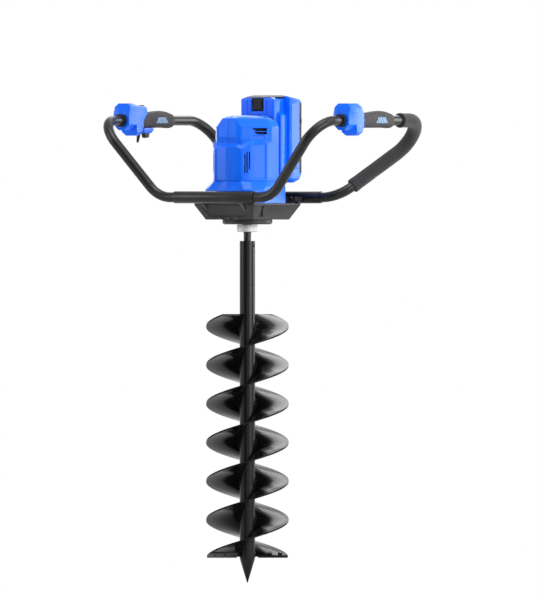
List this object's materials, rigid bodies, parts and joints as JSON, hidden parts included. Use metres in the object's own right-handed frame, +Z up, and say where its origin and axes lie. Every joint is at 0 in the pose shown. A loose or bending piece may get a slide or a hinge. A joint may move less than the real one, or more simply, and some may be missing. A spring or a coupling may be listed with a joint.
{
  "type": "battery powered auger",
  "caption": "Battery-powered auger: boxy powerhead and clip-in battery in a looped tube handlebar with grips, over a round bit tube with two spiral flights and a pilot point.",
  "frame": {"origin": "On the drive axis, at the underside of the round gearbox flange.", "axes": "+Z up along the drive axis, -Y the front of the machine, +Y the battery and the operator's side, +X the operator's left when facing the machine from behind."},
  "size_m": [0.6946, 0.4897, 1.2],
  "materials": {
    "blue_plastic": "moulded, satin",
    "black_plastic": "moulded, satin",
    "grip_rubber": "matt",
    "blue_insert": "moulded, satin",
    "foam": "closed cell foam, matt",
    "black_tube": "powder coat, satin",
    "black_housing": "powder coat, satin",
    "bit_paint": "gloss paint",
    "steel": "turned",
    "zinc": "zinc plated",
    "gear_steel": "cut teeth, oiled",
    "winding": "enamelled copper",
    "contact": "plated",
    "cast": "die cast",
    "cell_sleeve": "shrink sleeve",
    "circuit": "potted"
  },
  "bodies": {
    "powerhead": {"handle_tube_right": "black_tube", "handle_tube_left": "black_tube", "front_sleeve": "black_tube", "rear_sleeve": "black_tube", "sleeve_bolts": "zinc", "foam_pad": "foam", "grip_right": "grip_rubber", "grip_left": "grip_rubber", "grip_inserts": "blue_insert", "guard_shell_inner": "blue_plastic", "guard_shell_outer": "blue_plastic", "control_shell_inner": "blue_plastic", "control_shell_outer": "blue_plastic", "tube_grommets": "black_plastic", "trigger_housing": "blue_plastic", "trigger_switch": "circuit", "trigger_pin": "steel", "trigger_spring": "steel", "shell_screws": "zinc", "gearbox_housing": "black_housing", "gearbox_cover": "black_housing", "gearbox_flange": "black_housing", "gearbox_screws": "zinc", "spindle_bearings": "steel", "layshaft_bearings": "steel", "shaft_seal": "grip_rubber", "motor_can": "cast", "motor_end_bell": "cast", "motor_bearings": "steel", "stator": "winding", "motor_controller": "circuit", "base_skirt": "blue_plastic", "motor_cover_left": "blue_plastic", "motor_cover_right": "blue_plastic", "battery_dock": "black_plastic", "dock_terminals": "contact"},
    "bit": {"output_spindle": "black_tube", "drive_hub": "steel", "output_gear": "gear_steel", "bit_tube": "bit_paint", "bit_socket": "steel", "cross_pin": "steel", "flight_a": "bit_paint", "flight_b": "bit_paint", "cutting_blades": "steel", "blade_bolts": "zinc", "pilot_point": "bit_paint"},
    "layshaft_assembly": {"layshaft": "gear_steel", "layshaft_gear": "gear_steel"},
    "motor_rotor": {"motor_shaft": "gear_steel", "rotor": "steel", "cooling_fan": "black_plastic"},
    "trigger_lever": {"trigger": "black_plastic"},
    "lock": {"lock_button": "black_plastic"},
    "direction": {"direction_lever": "black_plastic"},
    "battery": {"battery_front_case": "blue_plastic", "battery_rear_case": "blue_plastic", "battery_cap": "black_plastic", "battery_cells": "cell_sleeve"},
    "latch": {"battery_latch": "black_plastic"}
  },
  "joints": [
    {"name": "spindle_spin", "type": "hinge", "parent": "powerhead", "child": "bit", "pos_m": [0, 0, 0], "axis": [0, 0, 1], "continuous": true},
    {"name": "layshaft_spin", "type": "hinge", "parent": "powerhead", "child": "layshaft_assembly", "pos_m": [0.03578, -0.03599, 0], "axis": [0, 0, 1], "continuous": true},
    {"name": "motor_spin", "type": "hinge", "parent": "powerhead", "child": "motor_rotor", "pos_m": [0, -0.04, 0.05], "axis": [0, 0, 1], "continuous": true},
    {"name": "trigger_pull", "type": "hinge", "parent": "powerhead", "child": "trigger_lever", "pos_m": [-0.3243, 0.0215, 0.2285], "axis": [1, 0, 0], "range_deg": [0, 12], "stiffness_Nm_per_rad": 0.6, "springref_deg": -8.59, "deforming": ["trigger_spring"]},
    {"name": "lock_press", "type": "slide", "parent": "powerhead", "child": "lock", "axis": [0, 0, -1], "range_m": [0, 0.003], "stiffness_N_per_m": 400, "springref_m": -0.002},
    {"name": "direction_swing", "type": "hinge", "parent": "powerhead", "child": "direction", "pos_m": [-0.3243, 0.0065, 0.2275], "axis": [0, 1, 0], "range_deg": [-20, 0]},
    {"name": "battery_lift", "type": "slide", "parent": "powerhead", "child": "battery", "axis": [0, 0, 1], "range_m": [0, 0.17]},
    {"name": "latch_press", "type": "slide", "parent": "battery", "child": "latch", "axis": [0, 1, 0], "range_m": [0, 0.0035], "stiffness_N_per_m": 600, "springref_m": -0.002}
  ],
  "couplings": [
    {"joint": "layshaft_spin", "follows": "spindle_spin", "ratio": -3.8333},
    {"joint": "motor_spin", "follows": "spindle_spin", "ratio": 19.167}
  ]
}
